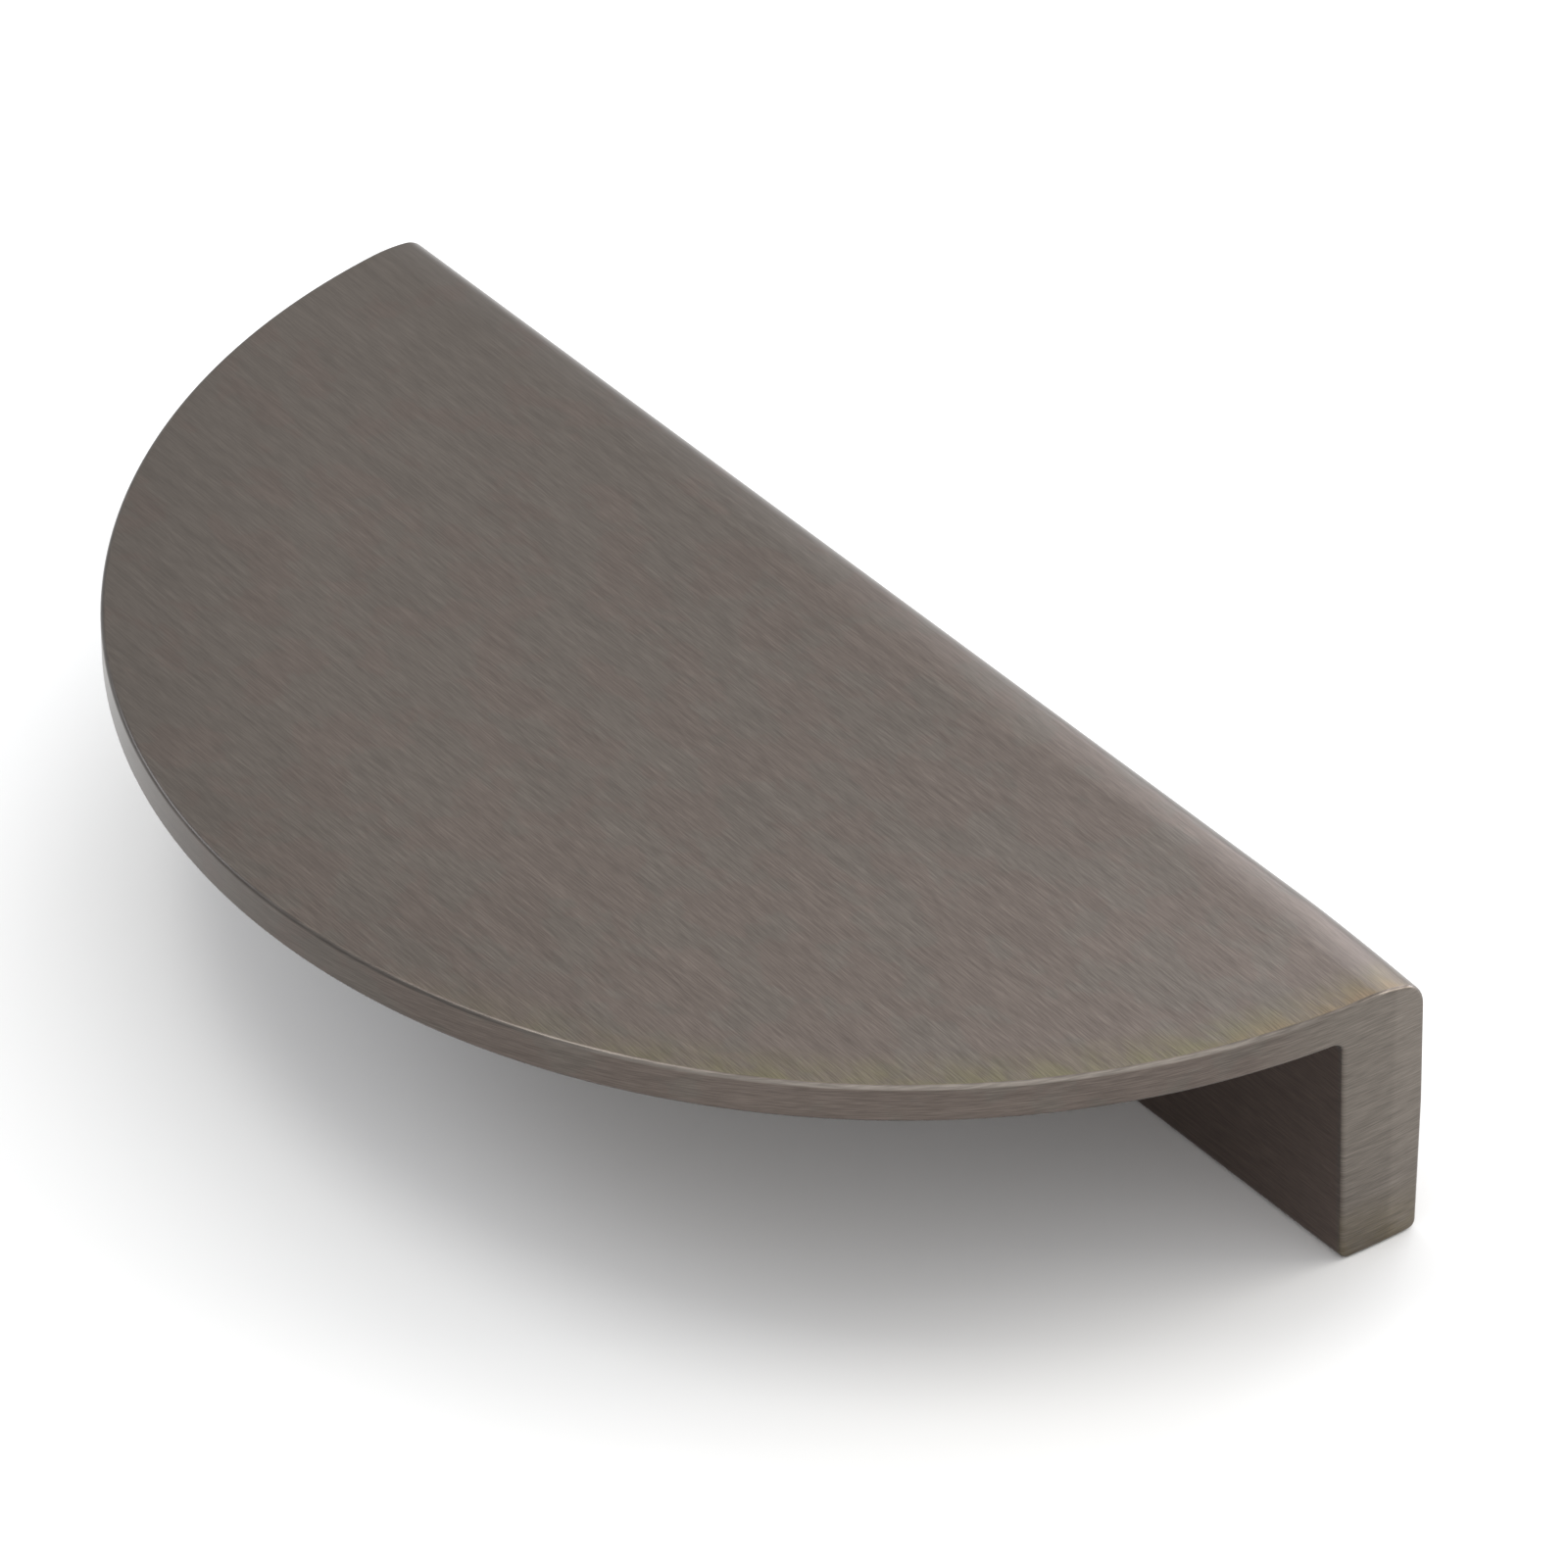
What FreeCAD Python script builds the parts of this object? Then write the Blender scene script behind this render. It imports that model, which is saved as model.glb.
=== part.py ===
import FreeCAD, Part
import math
import os

import Sketcher

# Half-moon cabinet pull: one solid L section, a half-round plate standing out from the door on a straight leg
# along its chord, held by two machine screws that come through the door from behind into tapped blind holes.
#
# Frame, in millimetres: the origin is the centre of the leg's seat, midway between the two tapped holes.
# +X runs along the chord, the round side of the plate points to -Y, and +Z points out of the door.

OUT = "parts"

# ---------------------------------------------------------------- driving dimensions
SIZES = [
    # the pull
    ("pull_radius", 65.0, "radius of the half-round plate; its straight edge is twice this"),
    ("centre_inset", 0.8, "distance of the disc's centre in front of the straight edge"),
    ("projection", 25.6, "height of the plate's outer face above the door"),
    ("plate_thickness", 3.5, "thickness of the half-round plate"),
    ("leg_base_width", 7.5, "thickness of the leg at its seat"),
    ("inner_draft", 1.2, "draft of the leg's finger side, in degrees"),
    ("back_draft", 1.0, "draft of the leg's back, in degrees"),
    ("fall_radius", 20.0, "radius of the soft fall of the outer face towards the straight edge"),
    ("fall_width", 5.6, "width of that fall"),
    ("back_edge_round", 2.4, "round between the soft fall and the leg's back"),
    ("inner_corner_round", 1.0, "round between the plate's underside and the leg"),
    ("seat_edge_round", 0.8, "round along both long edges of the seat"),
    ("rim_round", 0.4, "round on both edges of the rim and round the leg's ends"),
    # the two tapped holes
    ("hole_spacing", 96.0, "distance between the two tapped holes"),
    ("thread_major", 4.0, "outside diameter of the M4 thread"),
    ("thread_pitch", 0.7, "pitch of the M4 thread"),
    ("thread_clearance", 0.05, "radial gap between screw and tapped hole"),
    ("thread_engaged", 9.0, "length of screw inside the tapped hole"),
    ("hole_spare_depth", 3.0, "tapped depth left beyond the screw's tip"),
    ("hole_mouth_chamfer", 0.4, "chamfer at the tapped hole's mouth"),
    # the screws
    ("door_thickness", 16.0, "thickness of the door or drawer front, from the seat to the screw's head"),
    ("head_radius", 4.4, "radius of the truss head"),
    ("head_rim_height", 0.5, "height of the head's straight rim"),
    ("head_height", 2.3, "height of the truss head"),
    ("tip_chamfer", 0.6, "chamfer at the screw's tip"),
    ("recess_span", 4.2, "length of each slot of the cross recess"),
    ("recess_slot", 0.9, "width of each slot of the cross recess"),
    ("recess_depth", 1.5, "depth of the cross recess"),
]

# The blank that the round side is cut from is this much larger than the disc.
BLANK_RATIO = 1.1
# Where it is engaged, the thread is drawn at its pitch diameter, 0.6495 pitches under its major diameter.
PITCH_RATIO = 0.6495
ENGAGED_RADIUS = f"((sheet.thread_major - {PITCH_RATIO} * sheet.thread_pitch) / 2)"
HOLE_RADIUS = f"({ENGAGED_RADIUS} + sheet.thread_clearance)"
# The straight edge of the plate lies where the drafted back would meet the outer face, and the disc's centre
# a little in front of it.
EDGE_Y = "(sheet.leg_base_width / 2 + tan(sheet.back_draft * 1deg) * sheet.projection)"
CENTRE_Y = f"({EDGE_Y} - sheet.centre_inset)"

doc = FreeCAD.newDocument("half_moon_pull")
sheet = doc.addObject("Spreadsheet::Sheet", "sheet")
for row, (alias, value, meaning) in enumerate(SIZES, start=1):
    sheet.set(f"A{row}", meaning)
    sheet.set(f"B{row}", str(value))
    sheet.setAlias(f"B{row}", alias)
doc.recompute()


def edge_y():
    """EDGE_Y as a number, for the sketches' first guesses."""
    return sheet.leg_base_width / 2 + math.tan(math.radians(sheet.back_draft)) * sheet.projection


def centre_y():
    """CENTRE_Y as a number, for the sketches' first guesses and to find the disc's edges."""
    return edge_y() - sheet.centre_inset


def engaged_radius():
    """ENGAGED_RADIUS as a number, for the sketches' first guesses."""
    return (sheet.thread_major - PITCH_RATIO * sheet.thread_pitch) / 2


# ---------------------------------------------------------------- helpers
def new_body(label):
    """A PartDesign body whose label names its node."""
    body = doc.addObject("PartDesign::Body", label)
    body.Label = label
    return body


def sketch_on(body, name, role):
    """An empty sketch on one of the body's own origin planes."""
    plane = next(f for f in body.Origin.OriginFeatures if f.Role == role)
    sketch = body.newObject("Sketcher::SketchObject", name)
    sketch.AttachmentSupport = (plane, [""])
    sketch.MapMode = "FlatFace"
    return sketch


def drive(sketch, constraint, expression):
    """Add one dimension to a sketch and bind it to the sheet."""
    index = sketch.addConstraint(constraint)
    sketch.setExpression(f"Constraints[{index}]", expression)


def chain(sketch, points):
    """Straight lines through the points, each tied to the next; returns their numbers."""
    lines = []
    for start, end in zip(points, points[1:]):
        segment = Part.LineSegment(FreeCAD.Vector(*start, 0), FreeCAD.Vector(*end, 0))
        lines.append(sketch.addGeometry(segment, False))
    for line, follower in zip(lines, lines[1:]):
        sketch.addConstraint(Sketcher.Constraint("Coincident", line, 2, follower, 1))
    return lines


def rectangle(sketch, width, width_expression, height, height_expression):
    """A rectangle centred on the sketch's origin, with both sizes bound to the sheet."""
    right, top = width / 2, height / 2
    corners = [(-right, -top), (right, -top), (right, top), (-right, top), (-right, -top)]
    bottom_side, right_side, top_side, left_side = chain(sketch, corners)
    for kind, *places in (
        ("Coincident", left_side, 2, bottom_side, 1),
        ("Horizontal", bottom_side),
        ("Horizontal", top_side),
        ("Vertical", right_side),
        ("Vertical", left_side),
        ("Symmetric", bottom_side, 1, top_side, 1, -1, 1),
    ):
        sketch.addConstraint(Sketcher.Constraint(kind, *places))
    drive(sketch, Sketcher.Constraint("DistanceX", bottom_side, 1, bottom_side, 2, width), width_expression)
    drive(sketch, Sketcher.Constraint("DistanceY", right_side, 1, right_side, 2, height), height_expression)


def arc(sketch, centre, radius, start_angle, end_angle):
    """A circular arc in a sketch, counter-clockwise from its start angle; returns its number."""
    circle = Part.Circle(FreeCAD.Vector(*centre, 0), FreeCAD.Vector(0, 0, 1), radius)
    return sketch.addGeometry(Part.ArcOfCircle(circle, start_angle, end_angle), False)


def edges_where(shape, test):
    """Names of the edges that pass a test on the edge and its middle point."""
    names = []
    for number, edge in enumerate(shape.Edges, start=1):
        middle = edge.valueAt((edge.FirstParameter + edge.LastParameter) / 2)
        if test(edge, middle):
            names.append(f"Edge{number}")
    return names


def round_edges(body, name, size, test):
    """A fillet, with its radius from the sheet, on the edges of the body's tip that pass a test."""
    doc.recompute()
    base = body.Tip
    names = edges_where(base.Shape, test)
    fillet = body.newObject("PartDesign::Fillet", name)
    fillet.Base = (base, names)
    fillet.setExpression("Radius", f"sheet.{size}")
    doc.recompute()


# ---------------------------------------------------------------- the pull
def pull_section(body):
    """The L section in the YZ plane: seat, back, soft fall, outer face, rim, underside and finger side."""
    top = sheet.projection
    under = top - sheet.plate_thickness
    half_seat = sheet.leg_base_width / 2
    inner_top_y = -half_seat - under * math.tan(math.radians(sheet.inner_draft))
    fall_y = edge_y() - sheet.fall_width
    fall_angle = math.acos(sheet.fall_width / sheet.fall_radius)
    fall_end_z = top - sheet.fall_radius * (1 - math.sin(fall_angle))
    blank = sheet.pull_radius * BLANK_RATIO

    sketch = sketch_on(body, "section", "YZ_Plane")
    seat, back = chain(sketch, [(-half_seat, 0), (half_seat, 0), (edge_y(), fall_end_z)])
    fall = arc(sketch, (fall_y, top - sheet.fall_radius), sheet.fall_radius, fall_angle, math.pi / 2)
    outer, rim, underside, finger_side = chain(
        sketch, [(fall_y, top), (-blank, top), (-blank, under), (inner_top_y, under), (-half_seat, 0)]
    )
    for kind, *places in (
        ("Coincident", back, 2, fall, 1),
        ("Tangent", fall, 2, outer, 1),
        ("Coincident", finger_side, 2, seat, 1),
        ("Horizontal", seat),
        ("Symmetric", seat, 1, seat, 2, -1, 1),
        ("Horizontal", outer),
        ("Horizontal", underside),
        ("Vertical", rim),
    ):
        sketch.addConstraint(Sketcher.Constraint(kind, *places))
    for kind, places, value, expression in (
        ("DistanceX", (seat, 1, seat, 2), sheet.leg_base_width, "sheet.leg_base_width"),
        ("Angle", (back,), math.radians(90 - sheet.back_draft), "(90 - sheet.back_draft) * 1deg"),
        ("Angle", (finger_side,), math.radians(sheet.inner_draft - 90), "(sheet.inner_draft - 90) * 1deg"),
        ("DistanceY", (-1, 1, outer, 1), top, "sheet.projection"),
        ("DistanceY", (rim, 2, rim, 1), sheet.plate_thickness, "sheet.plate_thickness"),
        ("Radius", (fall,), sheet.fall_radius, "sheet.fall_radius"),
        ("DistanceX", (-1, 1, outer, 1), fall_y, f"{EDGE_Y} - sheet.fall_width"),
        ("DistanceX", (rim, 1, -1, 1), blank, f"sheet.pull_radius * {BLANK_RATIO}"),
    ):
        drive(sketch, Sketcher.Constraint(kind, *places, value), expression)
    return sketch


def waste_outside_disc(body):
    """The frame outside the disc, in the XY plane: a square with the disc's circle left out of it."""
    blank = 2 * sheet.pull_radius * BLANK_RATIO
    blank_expression = f"2 * sheet.pull_radius * {BLANK_RATIO}"
    sketch = sketch_on(body, "waste", "XY_Plane")
    rectangle(sketch, blank, blank_expression, blank, blank_expression)
    centre = FreeCAD.Vector(0, centre_y(), 0)
    disc = sketch.addGeometry(Part.Circle(centre, FreeCAD.Vector(0, 0, 1), sheet.pull_radius), False)
    sketch.addConstraint(Sketcher.Constraint("PointOnObject", disc, 3, -2))
    drive(sketch, Sketcher.Constraint("Radius", disc, sheet.pull_radius), "sheet.pull_radius")
    drive(sketch, Sketcher.Constraint("DistanceY", -1, 1, disc, 3, centre_y()), CENTRE_Y)
    return sketch


def add_tapped_holes(body):
    """Two blind holes up the leg from the seat, with a chamfered mouth and a drill point."""
    radius = engaged_radius() + sheet.thread_clearance
    half_spacing = sheet.hole_spacing / 2
    sketch = sketch_on(body, "hole_centres", "XY_Plane")
    for side in (-1, 1):
        place = FreeCAD.Vector(side * half_spacing, 0, 0)
        circle = sketch.addGeometry(Part.Circle(place, FreeCAD.Vector(0, 0, 1), radius), False)
        sketch.addConstraint(Sketcher.Constraint("PointOnObject", circle, 3, -1))
        drive(sketch, Sketcher.Constraint("Radius", circle, radius), HOLE_RADIUS)
        ends = (circle, 3, -1, 1) if side < 0 else (-1, 1, circle, 3)
        drive(sketch, Sketcher.Constraint("DistanceX", *ends, half_spacing), "sheet.hole_spacing / 2")
    doc.recompute()

    hole = body.newObject("PartDesign::Hole", "tapped_holes")
    hole.Profile = sketch
    doc.recompute()
    hole.Reversed = True
    hole.ThreadType = "None"
    hole.DepthType = "Dimension"
    hole.DrillPoint = "Angled"
    hole.HoleCutType = "Countersink"
    hole.HoleCutCustomValues = True
    hole.HoleCutCountersinkAngle = 90
    hole.setExpression("Diameter", f"2 * {HOLE_RADIUS}")
    hole.setExpression("Depth", "sheet.thread_engaged + sheet.hole_spare_depth")
    hole.setExpression("HoleCutDiameter", f"2 * ({HOLE_RADIUS} + sheet.hole_mouth_chamfer)")
    doc.recompute()


def pull():
    """The one-piece pull: an L-shaped bar, its long edges rounded, cut to the disc and rounded all round."""
    body = new_body("pull_body")
    bar = body.newObject("PartDesign::Pad", "bar")
    bar.Profile = pull_section(body)
    bar.SideType = "Symmetric"
    bar.setExpression("Length", f"2 * sheet.pull_radius * {BLANK_RATIO}")
    doc.recompute()

    under = sheet.projection - sheet.plate_thickness
    half_seat = sheet.leg_base_width / 2

    def long_edge(edge):
        return abs(edge.BoundBox.XLength - edge.Length) < 1e-6

    round_edges(
        body, "back_edge", "back_edge_round", lambda e, p: long_edge(e) and p.y > half_seat and p.z > under
    )
    round_edges(
        body, "inner_corner", "inner_corner_round",
        lambda e, p: long_edge(e) and abs(p.z - under) < 1e-6 and p.y > -sheet.pull_radius,
    )
    round_edges(body, "seat_edges", "seat_edge_round", lambda e, p: long_edge(e) and abs(p.z) < 1e-6)

    cut = body.newObject("PartDesign::Pocket", "round_side")
    cut.Profile = waste_outside_disc(body)
    cut.Type = "ThroughAll"
    cut.SideType = "Symmetric"
    doc.recompute()

    def on_disc(edge, point):
        reach = math.hypot(point.x, point.y - centre_y())
        return abs(reach - sheet.pull_radius) < 1e-4

    round_edges(body, "rim_and_ends", "rim_round", on_disc)
    add_tapped_holes(body)
    return body


# ---------------------------------------------------------------- the fixing screws
def screw_section(body):
    """Half of the screw's outline in the XZ plane: axis, tip, engaged thread, shank and truss head."""
    tip = sheet.thread_engaged
    under_head = -sheet.door_thickness
    engaged = engaged_radius()
    major = sheet.thread_major / 2
    tip_radius = engaged - sheet.tip_chamfer
    head = sheet.head_radius
    rim_z = under_head - sheet.head_rim_height
    crown_z = under_head - sheet.head_height
    rise = sheet.head_height - sheet.head_rim_height
    dome_radius = (head**2 + rise**2) / (2 * rise)
    dome_angle = math.asin(head / dome_radius)

    sketch = sketch_on(body, "half_outline", "XZ_Plane")
    points = [
        (0, crown_z), (0, tip), (tip_radius, tip), (engaged, tip - sheet.tip_chamfer), (engaged, 0),
        (major, 0), (major, under_head), (head, under_head), (head, rim_z),
    ]
    axis, tip_face, chamfer, thread, step, shank, seat, rim = chain(sketch, points)
    dome = arc(sketch, (0, crown_z + dome_radius), dome_radius, -math.pi / 2, dome_angle - math.pi / 2)
    for kind, *places in (
        ("Coincident", dome, 1, axis, 1),
        ("Coincident", dome, 2, rim, 2),
        ("PointOnObject", dome, 3, -2),
        ("PointOnObject", axis, 1, -2),
        ("Vertical", axis),
        ("Vertical", thread),
        ("Vertical", shank),
        ("Vertical", rim),
        ("Horizontal", tip_face),
        ("Horizontal", seat),
        ("PointOnObject", thread, 2, -1),
        ("PointOnObject", shank, 1, -1),
    ):
        sketch.addConstraint(Sketcher.Constraint(kind, *places))
    for kind, places, value, expression in (
        ("DistanceY", (-1, 1, axis, 2), tip, "sheet.thread_engaged"),
        ("DistanceX", (-1, 1, thread, 2), engaged, ENGAGED_RADIUS),
        ("DistanceX", (tip_face, 2, chamfer, 2), sheet.tip_chamfer, "sheet.tip_chamfer"),
        ("DistanceY", (chamfer, 2, chamfer, 1), sheet.tip_chamfer, "sheet.tip_chamfer"),
        ("DistanceX", (-1, 1, shank, 1), major, "sheet.thread_major / 2"),
        ("DistanceY", (shank, 2, shank, 1), sheet.door_thickness, "sheet.door_thickness"),
        ("DistanceX", (-1, 1, rim, 1), head, "sheet.head_radius"),
        ("DistanceY", (rim, 2, rim, 1), sheet.head_rim_height, "sheet.head_rim_height"),
        ("DistanceY", (axis, 1, seat, 2), sheet.head_height, "sheet.head_height"),
    ):
        drive(sketch, Sketcher.Constraint(kind, *places, value), expression)
    return sketch


def recess_slot(body, name, turn):
    """One slot of the cross recess: a rectangle on the head's crown, turned by so many degrees."""
    crown_z = -sheet.door_thickness - sheet.head_height
    sketch = sketch_on(body, f"{name}_outline", "XY_Plane")
    sketch.AttachmentOffset = FreeCAD.Placement(
        FreeCAD.Vector(0, 0, crown_z), FreeCAD.Rotation(FreeCAD.Vector(0, 0, 1), turn)
    )
    sketch.setExpression("AttachmentOffset.Base.z", "-sheet.door_thickness - sheet.head_height")
    rectangle(sketch, sheet.recess_span, "sheet.recess_span", sheet.recess_slot, "sheet.recess_slot")

    slot = body.newObject("PartDesign::Pocket", name)
    slot.Profile = sketch
    slot.Reversed = True
    slot.setExpression("Length", "sheet.recess_depth")
    doc.recompute()


def fixing_screw(label, side):
    """One truss-head machine screw in its tapped hole, its head below the seat by the door's thickness."""
    body = new_body(label)
    turned = body.newObject("PartDesign::Revolution", "turned_blank")
    turned.Profile = screw_section(body)
    turned.ReferenceAxis = (turned.Profile[0], ["V_Axis"])
    turned.Angle = 360
    doc.recompute()
    for name, turn in (("slot_along", 0), ("slot_across", 90)):
        recess_slot(body, name, turn)
    body.setExpression("Placement.Base.x", f"{side} * sheet.hole_spacing / 2")
    return body


# ---------------------------------------------------------------- build, test and write
nodes = [pull(), fixing_screw("left_fixing_screw", -1), fixing_screw("right_fixing_screw", 1)]
doc.recompute()

for made in doc.Objects:
    if {"Invalid", "Error"} & set(made.State):
        raise RuntimeError(f"{made.Name} failed: {made.State}")
for made in doc.findObjects("Sketcher::SketchObject"):
    if not made.FullyConstrained:
        raise RuntimeError(f"sketch {made.Name} isn't fully constrained")
for node in nodes:
    if node.Shape.isNull() or not node.Shape.isValid() or len(node.Shape.Solids) != 1:
        raise RuntimeError(f"{node.Label} isn't one valid solid")

os.makedirs(OUT, exist_ok=True)
for node in nodes:
    node.Shape.exportStep(os.path.join(OUT, f"{node.Label}.step"))
    box = node.Shape.optimalBoundingBox()
    print(
        f"{node.Label}: {node.Shape.Volume:.1f} mm3, x {box.XMin:.2f}..{box.XMax:.2f}, "
        f"y {box.YMin:.2f}..{box.YMax:.2f}, z {box.ZMin:.2f}..{box.ZMax:.2f}"
    )
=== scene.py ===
import math

import bpy
import numpy as np
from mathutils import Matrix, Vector


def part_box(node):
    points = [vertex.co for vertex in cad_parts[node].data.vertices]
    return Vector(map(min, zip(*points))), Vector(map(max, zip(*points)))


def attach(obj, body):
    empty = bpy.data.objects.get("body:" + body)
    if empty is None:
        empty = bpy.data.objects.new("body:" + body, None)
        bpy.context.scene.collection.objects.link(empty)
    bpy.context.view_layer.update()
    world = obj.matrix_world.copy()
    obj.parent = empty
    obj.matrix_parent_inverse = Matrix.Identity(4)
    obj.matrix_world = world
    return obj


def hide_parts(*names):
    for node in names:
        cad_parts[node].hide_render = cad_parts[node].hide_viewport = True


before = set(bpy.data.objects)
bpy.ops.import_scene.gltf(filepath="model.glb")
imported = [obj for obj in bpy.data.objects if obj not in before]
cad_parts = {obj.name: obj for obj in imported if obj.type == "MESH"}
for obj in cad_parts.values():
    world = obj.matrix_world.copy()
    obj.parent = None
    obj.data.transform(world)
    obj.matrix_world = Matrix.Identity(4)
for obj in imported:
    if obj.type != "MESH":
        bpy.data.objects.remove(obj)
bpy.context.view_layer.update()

# ============================================================ the pull
# One casting in zinc alloy: a half-round plate on a straight leg along its chord, an L in section. It is
# cast with a little draft, linished flat and brushed along the chord, the rim brushed round its curve, then
# plated gunmetal. The leg's seat has two tapped holes for the screws that come through the door from behind.

MM = 0.001

# the disc, from the size of the solid
low, high = (np.array(corner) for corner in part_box("pull_body"))
radius = (high[0] - low[0]) / 2
centre_y = low[1] + radius
top_z = high[2]

# the section: the plate, the leg and its drafted faces, and the straight edge that they end in
plate = 3.5 * MM
seat_width = 7.5 * MM
inner_draft = math.radians(1.2)
back_draft = math.radians(1)
edge_y = seat_width / 2 + top_z * math.tan(back_draft)

# its rounds; the top falls to the back in a wide shallow arc first
fall_radius = 20 * MM
fall_width = 5.6 * MM
back_round = 2.4 * MM
inner_round = 1.0 * MM
seat_round = 0.8 * MM
rim_round = 0.4 * MM

# the near corner of the straight edge, which the belt rubbed down and back
corner_drop = 0.4 * MM
corner_back = 0.45 * MM
corner_length = 14 * MM
corner_width = 5 * MM

# the M4 holes: sizes across are radii, and the drill's point slopes by its angle to the flat
hole_x = 48 * MM
hole_depth = 12 * MM
mouth_radius = 2.22 * MM
drill_radius = 1.63 * MM
tapped_radius = 2.03 * MM
drill_point = math.radians(31)
hole_turns = 17
major_radius = 2 * MM
thread_pitch = 0.7 * MM

PLATE_STEPS = 150
TOP_STEPS = 5
FALL_STEPS = 8
ROUND_STEPS = 8
LEG_STEPS = 24
SEAT_STEPS = 8
RIM_ROUND_STEPS = 6
END_STEPS = 8
MIDDLE_STEPS = 40
RING_STEPS = 3
ROWS_PER_TURN = 8


def straight(start, end, steps, normal):
    """A straight run of the section: evenly spaced points (y, z) with one outward normal."""
    share = np.linspace(0, 1, steps + 1)[:, None]
    points = (1 - share) * np.array(start) + share * np.array(end)
    return points, np.tile(normal, (steps + 1, 1))


def bend(centre, size, start, end, steps, outward=1):
    """An arc of the section: centre plus size times (cos, sin) of an angle that runs evenly from start to
    end. Its normals point away from the centre, or towards it with outward at -1."""
    angle = np.linspace(start, end, steps + 1)
    spoke = np.column_stack([np.cos(angle), np.sin(angle)])
    return np.array(centre) + size * spoke, outward * spoke


def plate_run(z, normal, last_y):
    """The flat of the plate in section, from the front of the disc to last_y. A point's y is the disc's
    centre minus the inner radius times the cosine of an even angle, so the points are even round the rim."""
    inner = radius - rim_round
    angle = np.linspace(0, math.acos((centre_y - last_y) / inner), PLATE_STEPS + 1)
    points = np.column_stack([centre_y - inner * np.cos(angle), np.full_like(angle, z)])
    return points, np.tile(normal, (PLATE_STEPS + 1, 1))


def section():
    """The L section as runs of (y, z) points with normals, from the front of the underside round to the
    front of the outer face. Straight faces meet in arcs that are tangent to both, found from their offset
    lines."""
    under_z = top_z - plate
    half = seat_width / 2
    inner_normal = np.array([-math.cos(inner_draft), -math.sin(inner_draft)])
    back_normal = np.array([math.cos(back_draft), -math.sin(back_draft)])
    down, up = np.array([0.0, -1.0]), np.array([0.0, 1.0])

    def on_face(foot_y, normal, z, offset):
        """The y at height z of a line through (foot_y, 0) moved out along its normal by offset."""
        return foot_y + (offset - z * normal[1]) / normal[0]

    corner_z = under_z - inner_round
    corner = (on_face(-half, inner_normal, corner_z, inner_round), corner_z)
    front_foot = (on_face(-half, inner_normal, seat_round, -seat_round), seat_round)
    back_foot = (on_face(half, back_normal, seat_round, -seat_round), seat_round)

    # the back round touches the back's line and the inside of the fall's circle
    fall_centre = np.array([edge_y - fall_width, top_z - fall_radius])
    along = np.array([math.sin(back_draft), math.cos(back_draft)])
    start = np.array([half, 0]) - back_round * back_normal - fall_centre
    reach = fall_radius - back_round
    ahead = -start @ along + math.sqrt((start @ along) ** 2 - start @ start + reach**2)
    back_centre = fall_centre + start + ahead * along
    fall_end = math.atan2(*(back_centre - fall_centre)[::-1])

    # the corner under the plate has as many steps as the three runs above it, so the rim's rungs pair up
    corner_steps = TOP_STEPS + FALL_STEPS + ROUND_STEPS
    shared_y = corner[0]
    runs = [plate_run(under_z, down, shared_y),
            bend(corner, inner_round, math.pi / 2, inner_draft, corner_steps, outward=-1)]
    foot_top = np.array(front_foot) + seat_round * inner_normal
    runs.append(straight(runs[-1][0][-1], foot_top, LEG_STEPS, inner_normal))
    runs.append(bend(front_foot, seat_round, math.pi + inner_draft, 1.5 * math.pi, RIM_ROUND_STEPS))
    runs.append(straight(runs[-1][0][-1], (back_foot[0], 0), SEAT_STEPS, down))
    runs.append(bend(back_foot, seat_round, -math.pi / 2, -back_draft, RIM_ROUND_STEPS))
    back_top = back_centre + back_round * back_normal
    runs.append(straight(runs[-1][0][-1], back_top, LEG_STEPS, back_normal))
    runs.append(bend(back_centre, back_round, -back_draft, fall_end, ROUND_STEPS))
    runs.append(bend(fall_centre, fall_radius, fall_end, math.pi / 2, FALL_STEPS))
    runs.append(straight(runs[-1][0][-1], (shared_y, top_z), TOP_STEPS, up))
    points, normals = plate_run(top_z, up, shared_y)
    runs.append((points[::-1], normals[::-1]))
    return runs


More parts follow.
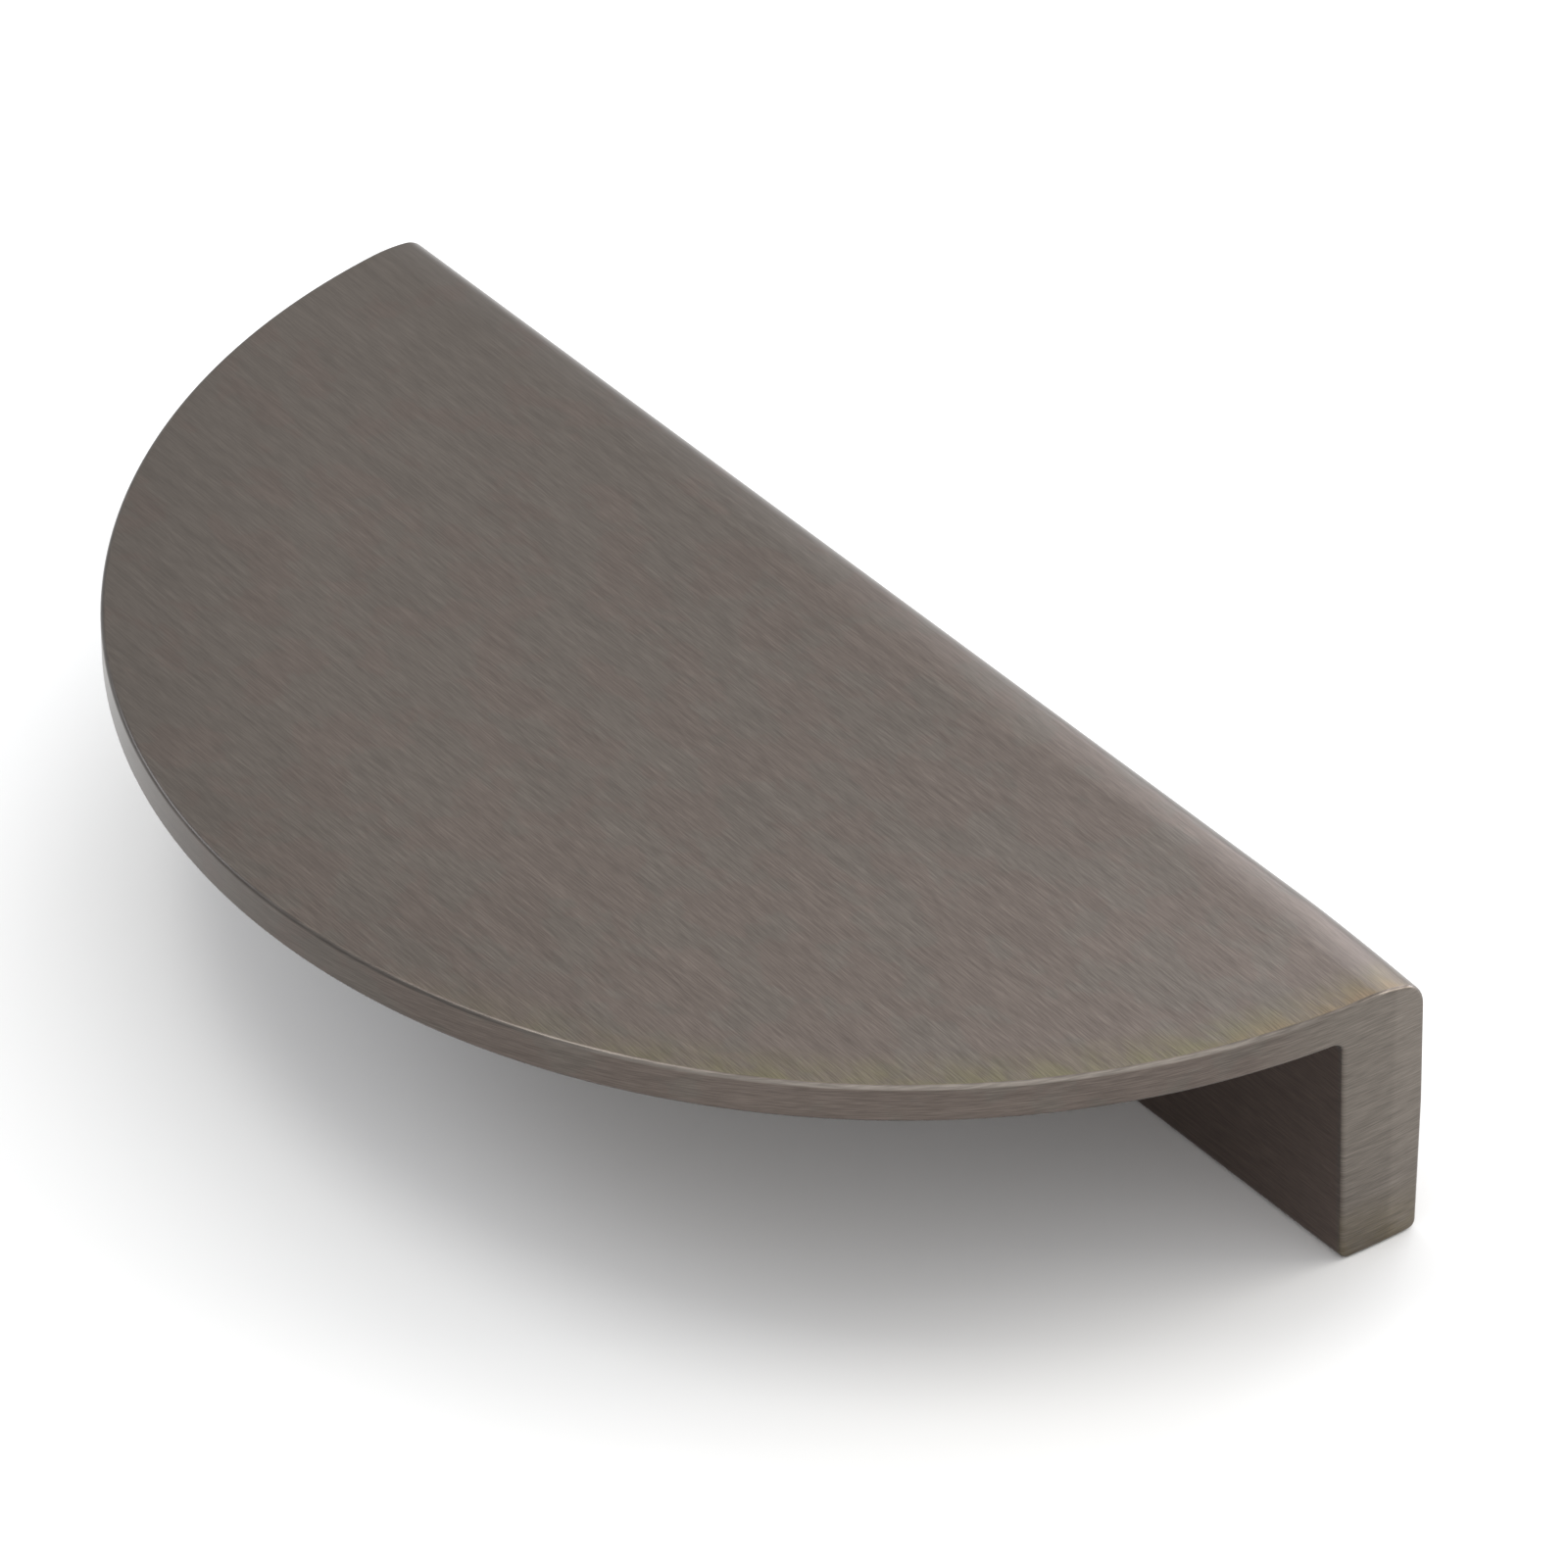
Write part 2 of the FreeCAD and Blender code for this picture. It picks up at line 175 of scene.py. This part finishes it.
class Patches:
    """Grids of points collected into one closed mesh: each patch adds quads, points that coincide are
    welded, and every corner keeps its own place in the brushing map."""

    def __init__(self):
        self.points, self.normals, self.quads, self.maps, self.count = [], [], [], [], 0

    def add(self, points, brushing, normals=None, flip=False, keep=None):
        """Add a grid of shape (rows, columns, 3), its map (along, across) in metres, and its normals if they
        are known. Flip turns its faces over, and keep says which of its quads are made."""
        rows, columns = points.shape[:2]
        index = self.count + np.arange(rows * columns).reshape(rows, columns)
        corners = [index[:-1, :-1], index[:-1, 1:], index[1:, 1:], index[1:, :-1]]
        if flip:
            corners.reverse()
        quads = np.stack(corners, axis=-1)
        quads = quads[keep] if keep is not None else quads.reshape(-1, 4)
        self.points.append(points.reshape(-1, 3))
        if normals is not None:
            self.normals.append(normals.reshape(-1, 3))
        self.quads.append(quads)
        self.maps.append(brushing.reshape(-1, 2)[quads - self.count])
        self.count += rows * columns

    def mesh(self, name):
        """Weld the points that agree to a tenth of a micrometre, drop the corners that fall together at a
        pole, and make the mesh."""
        points = np.concatenate(self.points)
        quads = np.concatenate(self.quads)
        maps = np.concatenate(self.maps)
        tenths_of_a_micrometre = np.round(points * 1e7).astype(np.int64)
        _, first, weld = np.unique(tenths_of_a_micrometre, axis=0, return_index=True, return_inverse=True)
        quads = weld.reshape(-1)[quads]
        keep = quads != np.roll(quads, 1, axis=1)
        whole = keep.sum(axis=1) > 2
        quads, maps, keep = quads[whole], maps[whole], keep[whole]
        sizes = keep.sum(axis=1)
        loops = quads[keep]
        starts = np.concatenate([[0], np.cumsum(sizes)[:-1]])
        mesh = bpy.data.meshes.new(name)
        mesh.vertices.add(len(first))
        mesh.vertices.foreach_set("co", points[first].ravel())
        mesh.loops.add(len(loops))
        mesh.loops.foreach_set("vertex_index", loops)
        mesh.polygons.add(len(sizes))
        mesh.polygons.foreach_set("loop_start", starts)
        mesh.polygons.foreach_set("use_smooth", np.ones(len(sizes), bool))
        mesh.update(calc_edges=True)
        mesh.uv_layers.new(name="brushing").data.foreach_set("uv", maps[keep].ravel())
        mesh.validate()
        if self.normals:
            mesh.normals_split_custom_set_from_vertices(np.concatenate(self.normals)[first])
        return mesh


def between(start, end, steps):
    """Rows of points from start to end, both arrays of shape (n, k), evenly mixed: (n, steps + 1, k)."""
    share = np.linspace(0, 1, steps + 1)[None, :, None]
    return start[:, None] * (1 - share) + end[:, None] * share


def pull_mesh():
    """The whole pull. The section is ruled along X to the disc's end for the faces of the bar, a quarter
    round follows its edge, and a band of rungs between the inner and outer edge closes the rim and the
    leg's ends."""
    # each run but the last leaves its end point to the next
    runs = section()
    ends = [-1] * (len(runs) - 1) + [None]
    edge = np.concatenate([points[:end] for (points, _), end in zip(runs, ends)])
    normal = np.concatenate([normals[:end] for (_, normals), end in zip(runs, ends)])
    around = np.concatenate([[0], np.cumsum(np.linalg.norm(np.diff(edge, axis=0), axis=1))])
    core = edge - rim_round * normal
    inner = radius - rim_round
    reach = np.sqrt(np.maximum(inner**2 - (core[:, 0] - centre_y) ** 2, 0))
    reach[[0, -1]] = 0
    made = Patches()

    # faces of the bar: point = (share of the reach, section), with a square block left out at each hole
    hole_share = hole_x / reach[len(edge) // 2]
    half_block = (seat_width - 2 * seat_round) / 2 / radius
    marks = [-1, -hole_share - half_block, -hole_share + half_block,
             hole_share - half_block, hole_share + half_block, 1]
    counts = [END_STEPS, SEAT_STEPS, MIDDLE_STEPS, SEAT_STEPS, END_STEPS]
    spans = [np.linspace(a, b, n, endpoint=False) for a, b, n in zip(marks, marks[1:], counts)]
    share = np.concatenate([*spans, [1]])
    x = reach[:, None] * share[None, :]
    across = np.ones_like(x)
    faces = np.dstack([x, across * edge[:, :1], across * edge[:, 1:]])
    face_normals = np.dstack([0 * x, across * normal[:, :1], across * normal[:, 1:]])
    brushing = np.dstack([x, across * around[:, None]])
    seat_start = int(np.argmax(edge[:, 1] < 1e-9))
    blocks = [sum(counts[:1]), sum(counts[:3])]
    keep = np.ones((len(edge) - 1, len(share) - 1), bool)
    for column in blocks:
        keep[seat_start : seat_start + SEAT_STEPS, column : column + SEAT_STEPS] = False
    made.add(faces, brushing, face_normals, flip=True, keep=keep)

    # the quarter round along the edge: a ball of the round's size carried round the core line
    chains = {}
    for side in (1, -1):
        outward = np.column_stack([side * reach, core[:, 0] - centre_y, np.zeros_like(reach)]) / inner
        flat = np.column_stack([np.zeros_like(reach), normal])
        centre = np.column_stack([side * reach, core])
        opening = np.arccos(np.clip((outward * flat).sum(axis=1), -1, 1))[:, None, None]
        turn = np.linspace(0, 1, RIM_ROUND_STEPS + 1)[None, :, None]
        spokes = np.sin((1 - turn) * opening) * flat[:, None] + np.sin(turn * opening) * outward[:, None]
        spokes /= np.sin(opening)
        points = centre[:, None] + rim_round * spokes
        bearing = np.arctan2(points[..., 0], centre_y - points[..., 1])
        arc_map = np.dstack([radius * bearing, points[..., 2]])
        made.add(points, arc_map, spokes, flip=side > 0)
        chains[side] = (points[:, -1], outward)

    # the band: rungs between the inner and the outer edge, up to the seat's own edge
    last = seat_start + 1
    for side, (rim, outward) in chains.items():
        lower, upper = rim[:last], rim[::-1][:last]
        rungs = between(lower, upper, SEAT_STEPS)
        rungs[-1] = rim[seat_start : seat_start + SEAT_STEPS + 1]
        bearing = np.arctan2(rungs[..., 0], centre_y - rungs[..., 1])
        flat = np.dstack([np.sin(bearing), -np.cos(bearing), np.zeros_like(bearing)])
        points = np.dstack([radius * flat[..., 0], centre_y + radius * flat[..., 1], rungs[..., 2]])
        made.add(points, np.dstack([radius * bearing, rungs[..., 2]]), flat, flip=side > 0)

    for column in blocks:
        block = faces[seat_start : seat_start + SEAT_STEPS + 1, column : column + SEAT_STEPS + 1]
        add_tapped_hole(made, block)
    rubbed = [rub_corner(points, normals) for points, normals in zip(made.points, made.normals)]
    made.points, made.normals = zip(*rubbed)
    return made.mesh("pull")


def rub_corner(points, normals):
    """The near corner of the straight edge, rubbed down and back: p - f d, with d = (0, back, drop) and f
    the product of how far into the corner along the edge, to the power 1.5, how near the edge, and how high.
    The normals follow the inverse transpose of the derivative: n + (d.n) g / (1 - d.g), g the slope of f."""
    shift = np.array([0, corner_back, corner_drop])
    along = np.clip((points[:, 0] - radius + corner_length) / corner_length, 0, 1)
    across = np.clip((points[:, 1] - edge_y + corner_width) / corner_width, 0, 1)
    raised = np.clip(2 * points[:, 2] / top_z - 1, 0, 1)
    rubbed = along**1.5 * across * raised
    slope = np.column_stack([1.5 * np.sqrt(along) * across * raised / corner_length,
                             along**1.5 * ((across > 0) & (across < 1)) * raised / corner_width,
                             along**1.5 * across * ((raised > 0) & (raised < 1)) * 2 / top_z])
    share = (normals @ shift) / (1 - slope @ shift)
    tilted = normals + share[:, None] * slope
    length = np.linalg.norm(tilted, axis=1, keepdims=True)
    return points - rubbed[:, None] * shift, tilted / np.where(length > 0, length, 1)


def thread_wave(turn, z, low_cut, high_cut):
    """Radius of a right-hand 60 degree thread at an angle, in turns, and a height: the pitch radius plus a
    triangle wave of half the sharp thread's height, cut off flat at the minor and major radii."""
    half_sharp_height = 0.866 * thread_pitch / 2
    pitch_radius = major_radius - 0.6495 * thread_pitch / 2
    wave = 1 - 4 * np.abs((z / thread_pitch - turn) % 1 - 0.5)
    return np.clip(pitch_radius + half_sharp_height * wave, low_cut, high_cut)


def add_tapped_hole(made, block):
    """One tapped hole in a square block of the seat: rings from the square to the chamfered mouth, then rows
    up the threaded wall and the drill's cone, each row a ring of points at the block's own angles."""
    centre = np.array([block[..., 0].mean(), 0, 0])
    border = np.concatenate([block[0, :-1], block[:-1, -1], block[-1, :0:-1], block[:0:-1, 0]])
    border = np.concatenate([border, border[:1]])
    angle = np.unwrap(np.arctan2(*(border - centre)[:, [1, 0]].T))
    spoke = np.column_stack([np.cos(angle), np.sin(angle), np.zeros_like(angle)])
    mouth = centre + mouth_radius * spoke
    rings = between(border, mouth, RING_STEPS).transpose(1, 0, 2)
    made.add(rings, rings[..., :2], np.tile([0.0, 0, -1], (*rings.shape[:2], 1)), flip=True)

    # the chamfer's two rows, then the threaded rows, whose first meets the chamfer's depth
    chamfer = mouth_radius - tapped_radius
    threaded = np.linspace(chamfer, hole_depth, ROWS_PER_TURN * hole_turns)
    z = np.concatenate([[0, 0.02 * MM], threaded])[:, None]
    wall = thread_wave(angle[None] / math.tau, z, drill_radius, tapped_radius)
    wall[:2] = mouth_radius - z[:2]
    z = np.vstack([z, z[-1:], z[-1:] + drill_radius * math.tan(drill_point)])
    wall = np.vstack([wall, np.full_like(wall[:1], drill_radius), np.zeros_like(wall[:1])])
    points = centre + wall[..., None] * spoke[None] + z[..., None] * np.array([0, 0, 1])
    brushing = np.dstack([np.broadcast_to(angle * tapped_radius, wall.shape), np.broadcast_to(z, wall.shape)])
    made.add(points, brushing, np.zeros_like(points), flip=True)


def linear(hex_colour):
    """An sRGB hex colour as linear RGBA."""
    srgb = [int(hex_colour[i : i + 2], 16) / 255 for i in (1, 3, 5)]
    return (*(c / 12.92 if c <= 0.04045 else ((c + 0.055) / 1.055) ** 2.4 for c in srgb), 1.0)


def add_node(tree, kind, inputs=None, **settings):
    """Add a node with its properties, and give each input its value or the socket that feeds it."""
    node = tree.nodes.new(kind)
    for key, value in settings.items():
        setattr(node, key, value)
    for key, value in (inputs or {}).items():
        if isinstance(value, bpy.types.NodeSocket):
            tree.links.new(value, node.inputs[key])
        else:
            node.inputs[key].default_value = value
    return node


def new_material(name):
    """A material with only a Principled shader on its output; returns it with its tree and the shader."""
    material = bpy.data.materials.new(name)
    material.use_nodes = True
    tree = material.node_tree
    tree.nodes.clear()
    shader = tree.nodes.new("ShaderNodeBsdfPrincipled")
    add_node(tree, "ShaderNodeOutputMaterial", {"Surface": shader.outputs["BSDF"]})
    return material, tree, shader


def scratches(tree, place, length, width, turn=0.0, detail=3.0):
    """Marks as noise drawn out to so many millimetres along the brushing and across it, and turned by a few
    degrees. With the length near the width they are patches."""
    turned = add_node(tree, "ShaderNodeMapping", {"Vector": place, "Rotation": (0, 0, math.radians(turn))})
    along, across = 1 / (length * MM), 1 / (width * MM)
    drawn = add_node(tree, "ShaderNodeMapping", {
        "Vector": turned.outputs["Vector"], "Scale": (along, across, across)})
    noise = add_node(tree, "ShaderNodeTexNoise", {
        "Vector": drawn.outputs["Vector"], "Scale": 1.0, "Detail": detail, "Roughness": 0.6})
    return noise.outputs["Fac"]


def strength(tree, *parts):
    """How strong something is at each place: the product of its parts. A part is a strength, or a ramp
    (value, start, end) that goes from 0 to 1, or between the two numbers after the end, and is held there."""
    product = None
    for part in parts:
        if not isinstance(part, bpy.types.NodeSocket):
            names = ("Value", "From Min", "From Max", "To Min", "To Max")
            part = add_node(tree, "ShaderNodeMapRange", dict(zip(names, part))).outputs["Result"]
        if product is not None:
            part = add_node(tree, "ShaderNodeMath", {0: product, 1: part}, operation="MULTIPLY").outputs[0]
        product = part
    return product


def tinted(tree, tone, *tints):
    """A tone with tints laid over it in turn, each a (strength, colour). The mix node's colours are its
    inputs 6 and 7 and its output 2."""
    for amount, tint in tints:
        mix = add_node(tree, "ShaderNodeMix", {0: amount, 6: tone, 7: tint}, data_type="RGBA")
        tone = mix.outputs[2]
    return tone


def brushed_gunmetal():
    """Zinc casting plated gunmetal over a linished surface: a dark warm grey metal. The belt's fine lines
    run along the chord and spread each highlight across them. The plating has faint purple and olive clouds,
    heat tints it straw along the near rim and at the foot, and it is painted browner inside, for the warm
    light that the metal bounces there."""
    material, tree, shader = new_material("brushed_gunmetal")
    brushing = add_node(tree, "ShaderNodeUVMap", uv_map="brushing").outputs["UV"]
    place = add_node(tree, "ShaderNodeTexCoord").outputs["Object"]
    x, y, z = add_node(tree, "ShaderNodeSeparateXYZ", {"Vector": place}).outputs
    from_axis = add_node(tree, "ShaderNodeVectorMath", {0: place, 1: (0, -centre_y, 0)}, operation="ADD")
    level = add_node(tree, "ShaderNodeVectorMath", {0: from_axis.outputs[0], 1: (1, 1, 0)},
                     operation="MULTIPLY")
    reach = add_node(tree, "ShaderNodeVectorMath", {0: level.outputs[0]}, operation="LENGTH").outputs["Value"]

    # belt marks: lines 0.12 and 0.14 mm wide in two passes that cross at a few degrees, and broader bands
    fine = scratches(tree, brushing, 3.6, 0.14, turn=0.5)
    crossing = scratches(tree, brushing, 2.2, 0.12, turn=-4.0)
    broad = scratches(tree, brushing, 14.0, 0.9, turn=-2.0, detail=4.0)
    marks = add_node(tree, "ShaderNodeMath", {0: fine, 1: crossing}, operation="ADD").outputs[0]

    # the heat's tints: straw along the rim's upper edge on the near half, and at the corner and foot; the
    # leg's end is painted lighter, for the light it catches
    blotches = strength(tree, (scratches(tree, brushing, 4.0, 2.5, detail=5.0), 0.4, 0.58, 0.35, 1.0))
    straw = strength(tree, (z, top_z - 1.4 * MM, top_z - 0.3 * MM), (x, 12 * MM, 46 * MM),
                     (reach, radius - 4.5 * MM, radius - 0.5 * MM),
                     (reach, radius - 0.4 * MM, radius - 0.3 * MM, 1.0, 0.0), blotches)
    corner = strength(tree, straw, (x, 61 * MM, 64.2 * MM, 0.0, 0.8))
    # painted highlight: the leg's end face is made lighter, for the brighter light it catches
    end = strength(tree, (reach, radius - 0.3 * MM, radius - 0.05 * MM), (x, 63 * MM, 64.5 * MM))
    foot = strength(tree, (z, 0.0, 6 * MM, 0.9, 0.0), blotches)

    # painted warm bounce light: under the plate and on the finger side of the leg the tone is browner, for
    # the warm light the metal reflects onto itself there
    under_z = top_z - plate
    painted_warm_bounce = strength(tree, (z, under_z - 0.3 * MM, under_z + 0.1 * MM, 1.0, 0.0),
                      (reach, radius - 0.8 * MM, radius - 0.3 * MM, 1.0, 0.0),
                      (y, -1 * MM, 1 * MM, 1.0, 0.0))

    # the rim's upper edge, partly wear and partly a painted highlight line: brighter towards the near end,
    # and least at the corner
    worn_edge_and_highlight = strength(tree, (z, top_z - 0.36 * MM, top_z - 0.2 * MM),
                    (reach, radius - 0.36 * MM, radius - 0.2 * MM), (x, 62.5 * MM, 64.5 * MM, 1.0, 0.3))
    brighter_in_highlight = strength(tree, (x, 22 * MM, 50 * MM))
    worn_and_highlight_tone = tinted(tree, linear("#4d4946"), (brighter_in_highlight, linear("#8a837c")))

    # the clouds: 5 mm patches with ragged edges, more of them purple towards the near end
    patches = scratches(tree, place, 6.0, 4.5, detail=5.0)
    drift = strength(tree, (x, -65 * MM, 65 * MM, -0.07, 0.06))
    clouds = add_node(tree, "ShaderNodeMath", {0: patches, 1: drift}, operation="ADD").outputs[0]
    purple = strength(tree, (clouds, 0.47, 0.53))

    # painted highlight: a lighter band along the straight edge, for the light reflected in the edge's fall,
    # wider at the far end
    band_width = strength(tree, (x, 20 * MM, 42 * MM, 6.5 * MM, 3.4 * MM))
    into_band = add_node(tree, "ShaderNodeMath", {0: y, 1: band_width}, operation="ADD").outputs[0]
    painted_highlight_band = strength(tree, (into_band, edge_y - 0.25 * MM, edge_y + 0.25 * MM), (x, -30 * MM, 10 * MM))

    # painted shade: the tone is darker near the rim at the far front
    painted_front_shade = strength(tree, (reach, 48 * MM, 64 * MM), (x, 10 * MM, 40 * MM, 1.0, 0.0),
                    (y, -35 * MM, -12 * MM, 1.0, 0.0))

    tone = tinted(tree, linear("#5c5651"), (purple, linear("#5d5550")), (straw, linear("#605b4a")),
                  (corner, linear("#68594a")), (end, linear("#655f59")), (foot, linear("#645c4d")),
                  (painted_warm_bounce, linear("#60544e")), (worn_edge_and_highlight, worn_and_highlight_tone))

    # the marks show as lighter and darker streaks, painted stronger towards the near end, where the highlight
    # shows them more
    stronger_in_highlight = strength(tree, (x, -65 * MM, 65 * MM, 0.6, 1.5))
    streak = strength(tree, (marks, 0.82, 1.3, -0.11, 0.22), stronger_in_highlight)
    streak = add_node(tree, "ShaderNodeMath", {0: streak, 1: 1.0}, operation="ADD").outputs[0]
    # the tone's lightness: the broad bands, the streaks, the painted highlight band and the painted shade
    light = strength(tree, (broad, 0.3, 0.7, 1.0, 1.2), streak, (painted_highlight_band, 0.0, 1.0, 1.0, 1.11),
                     (painted_front_shade, 0.0, 1.0, 1.0, 0.87))
    tone = add_node(tree, "ShaderNodeVectorMath", {0: tone, "Scale": light}, operation="SCALE").outputs[0]
    tree.links.new(tone, shader.inputs["Base Color"])
    shader.inputs["Metallic"].default_value = 1.0
    tree.links.new(strength(tree, (marks, 0.86, 1.4, 0.28, 0.35)), shader.inputs["Roughness"])
    shader.inputs["Anisotropic"].default_value = 0.4
    shader.inputs["Anisotropic Rotation"].default_value = 0.25
    tangent = add_node(tree, "ShaderNodeTangent", direction_type="UV_MAP", uv_map="brushing")
    tree.links.new(tangent.outputs["Tangent"], shader.inputs["Tangent"])
    relief = add_node(tree, "ShaderNodeBump", {"Height": marks, "Strength": 0.12, "Distance": 0.02 * MM})
    tree.links.new(relief.outputs["Normal"], shader.inputs["Normal"])
    return material


pull = bpy.data.objects.new("half_moon_pull", pull_mesh())
bpy.context.collection.objects.link(pull)
pull.data.materials.append(brushed_gunmetal())
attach(pull, "pull")
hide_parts("pull_body")

# ============================================================ the fixing screws
# Two M4 x 25 machine screws with a low truss head and a cross recess, cold formed from steel wire, rolled
# thread, zinc plated. Each comes through the door from behind and ends in its tapped hole.

head_radius = 4.4 * MM
head_height = 2.3 * MM
rim_height = 0.5 * MM
rim_soft = 0.15 * MM
wing_half_width = 0.45 * MM
wing_slope = 0.25 * MM
wing_reach = 2.1 * MM
wing_fall = 1.1
recess_depth = 1.5 * MM
root_radius = 1.571 * MM
crest_radius = 1.98 * MM
shank_turns = 34
tip_chamfer = 0.6 * MM
tip_radius = 1.35 * MM
sharp_angle = math.radians(40)

COLUMNS = 96
CROWN_STEPS = 40
RIM_STEPS = 4


def screw_mesh(name, centre_x, crown_z, tip_z):
    """A screw as one grid: rows from the middle of the crown over the head, up the threaded shank and over
    the chamfered tip to its middle, columns round the axis. The recess is pressed into the crown's rows."""
    seat_z = crown_z + head_height
    turn = np.linspace(0, 1, COLUMNS + 1)[None, :]
    angle = math.tau * turn

    # the crown: a ball's cap, sunk where a point lies in a wing of the cross, less towards the wing's end
    rise = head_height - rim_height
    dome = (head_radius**2 + rise**2) / (2 * rise)
    r = (head_radius * np.linspace(0, 1, CROWN_STEPS + 1))[:, None]
    across = r * np.cos(angle)
    along = r * np.sin(angle)
    near = np.minimum(np.abs(across), np.abs(along))
    far = np.maximum(np.abs(across), np.abs(along))
    wing = np.clip((wing_half_width - near) / wing_slope + 0.5, 0, 1)
    wing = wing * wing * (3 - 2 * wing)
    sunk = np.clip((wing_reach - far) * wing_fall, 0, recess_depth) * wing
    rows = [(r + 0 * angle, crown_z + dome - np.sqrt(dome**2 - r**2) + sunk)]

    # the head's rim, softened towards its seat, and the seat
    edge = np.linspace(0, math.pi / 2, RIM_STEPS + 1)[1:, None]
    rows.append((head_radius - rim_soft + rim_soft * np.cos(edge) + 0 * angle,
                 seat_z - rim_soft + rim_soft * np.sin(edge) + 0 * angle))
    rows.append((np.full((1, COLUMNS + 1), major_radius), np.full((1, COLUMNS + 1), seat_z)))

    # the shank, threaded over its whole length, and the tip
    z = np.linspace(seat_z, tip_z - tip_chamfer, ROWS_PER_TURN * shank_turns)[:, None] + 0 * angle
    rows.append((thread_wave(turn, z, root_radius, crest_radius), z))
    ends = np.array([[tip_radius, tip_z], [0.0, tip_z]])
    rows.append((ends[:, :1] + 0 * angle, ends[:, 1:] + 0 * angle))

    r = np.concatenate([row[0] for row in rows])
    z = np.concatenate([row[1] + 0 * angle for row in rows])
    r[0] = 0
    points = np.dstack([centre_x + r * np.cos(angle), r * np.sin(angle), z])
    points[:, -1] = points[:, 0]
    made = Patches()
    made.add(points, np.dstack([angle * head_radius + 0 * z, z]))
    mesh = made.mesh(name)
    mesh.set_sharp_from_angle(angle=sharp_angle)
    return mesh


def zinc_plated_steel():
    """Bright zinc over drawn wire: a pale, slightly blue metal, dulled unevenly by handling and by the
    plating's own fine grain."""
    material, tree, shader = new_material("zinc_plated_steel")
    place = add_node(tree, "ShaderNodeTexCoord").outputs["Object"]
    bloom = scratches(tree, place, 1.5, 1.5)
    grain = scratches(tree, place, 0.12, 0.12)
    yellower = strength(tree, (bloom, 0.35, 0.65))
    tone = tinted(tree, linear("#c4c7c9"), (yellower, linear("#d3d2cb")))
    tree.links.new(tone, shader.inputs["Base Color"])
    shader.inputs["Metallic"].default_value = 1.0
    tree.links.new(strength(tree, (bloom, 0.3, 0.7, 0.22, 0.38)), shader.inputs["Roughness"])
    relief = add_node(tree, "ShaderNodeBump", {"Height": grain, "Strength": 0.2, "Distance": 0.01 * MM})
    tree.links.new(relief.outputs["Normal"], shader.inputs["Normal"])
    return material


zinc = zinc_plated_steel()
for side in ("left", "right"):
    node = f"{side}_fixing_screw"
    lowest, highest = (np.array(corner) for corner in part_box(node))
    mesh = screw_mesh(node, (lowest[0] + highest[0]) / 2, lowest[2], highest[2])
    screw = bpy.data.objects.new(f"{side}_machine_screw", mesh)
    bpy.context.collection.objects.link(screw)
    mesh.materials.append(zinc)
    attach(screw, f"{side}_screw")
    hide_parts(node)

# ============================================================ floor, light and camera
# A white sweep in an even white light tent, with most of the light from behind the pull and from its left,
# seen from above its near end with a long lens. The floor and the tent are both white, so they meet with no
# line. The floor takes the door's place, a hair under the seat.

floor_half = 40.0
floor_z = -0.02 * MM
corners = [(-floor_half, -floor_half, floor_z), (floor_half, -floor_half, floor_z),
           (floor_half, floor_half, floor_z), (-floor_half, floor_half, floor_z)]
ground = bpy.data.meshes.new("floor")
ground.from_pydata(corners, [], [(0, 1, 2, 3)])
floor = bpy.data.objects.new("floor", ground)
bpy.context.collection.objects.link(floor)
paper, tree, shader = new_material("white_sweep")
shader.inputs["Base Color"].default_value = linear("#f1f1f1")
shader.inputs["Roughness"].default_value = 0.9
shader.inputs["Specular IOR Level"].default_value = 0.1
ground.materials.append(paper)

world = bpy.data.worlds.new("light_tent")
bpy.context.scene.world = world
world.use_nodes = True
world.node_tree.nodes["Background"].inputs["Color"].default_value = linear("#ffffff")
world.node_tree.nodes["Background"].inputs["Strength"].default_value = 1.0

# the softboxes, each a card that faces the pull: degrees round from +X, degrees up, width, height, light
centre = Vector((-8, -25, 12)) * MM
card_distance = 0.75
for name, around, above, width, height, light, colour in (
    ("behind", 112, 29, 0.40, 0.50, 2.1, "#f4f8ff"),
    ("behind_low", 90, 12, 0.36, 0.12, 6.5, "#e6f0ff"),
    ("far_high", 141, 55, 0.50, 0.17, 1.4, "#fffdf8"),
    ("left", 222, 48, 0.42, 0.36, 0.5, "#fffefa"),
    ("left_high", 213, 70, 0.30, 0.17, 5.2, "#fffefa"),
    ("left_low", 201, 30, 0.36, 0.17, 4.6, "#ecf4ff"),
    ("near_end", 60, 40, 0.36, 0.25, 3.2, "#fffbf4"),
    ("near_low", 75, 20, 0.36, 0.25, 3.5, "#fffbf4"),
):
    card = bpy.data.lights.new(name, "AREA")
    card.shape = "RECTANGLE"
    card.size, card.size_y = width, height
    card.energy = math.pi * width * height * light
    card.color = linear(colour)[:3]
    lamp = bpy.data.objects.new(name, card)
    around, above = math.radians(around), math.radians(above)
    way = Vector((math.cos(around) * math.cos(above), math.sin(around) * math.cos(above), math.sin(above)))
    lamp.location = centre + card_distance * way
    lamp.rotation_euler = way.to_track_quat("Z", "Y").to_euler()
    lamp.visible_camera = False
    bpy.context.collection.objects.link(lamp)

azimuth, elevation, distance = math.radians(51.4), math.radians(37.24), 1.0663
aim = Vector((-8.2, -2.1, 3.44)) * MM
towards = Vector((math.sin(azimuth) * math.cos(elevation), -math.cos(azimuth) * math.cos(elevation),
                  math.sin(elevation)))
lens = bpy.data.cameras.new("camera")
lens.sensor_width = 36
lens.lens = 296.4
lens.clip_end = 200
camera = bpy.data.objects.new("camera", lens)
camera.location = aim + towards * distance
camera.rotation_euler = (-towards).to_track_quat("-Z", "Y").to_euler()
bpy.context.collection.objects.link(camera)
bpy.context.scene.camera = camera
bpy.context.scene.view_settings.view_transform = "Standard"
